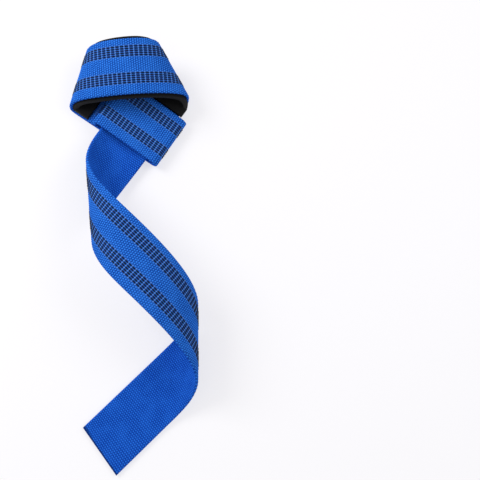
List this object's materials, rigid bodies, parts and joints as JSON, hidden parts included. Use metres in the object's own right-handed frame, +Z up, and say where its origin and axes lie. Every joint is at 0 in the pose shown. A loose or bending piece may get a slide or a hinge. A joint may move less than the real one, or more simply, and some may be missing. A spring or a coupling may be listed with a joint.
{
  "type": "lifting strap",
  "caption": "Lasso lifting strap lying curled: woven webbing with raised grip threads passes through its own sewn end loop to form a wrist loop lined with a foam pad.",
  "frame": {"origin": "middle of the footprint, on the table top", "axes": "+Z up from the table, +Y from the free tip towards the wrist loop"},
  "size_m": [0.0874, 0.2924, 0.0509],
  "materials": {
    "webbing": "matt woven",
    "pad": "matt foam"
  },
  "bodies": {
    "root": {"webbing_strap": "webbing", "wrist_pad": "pad"}
  },
  "joints": []
}
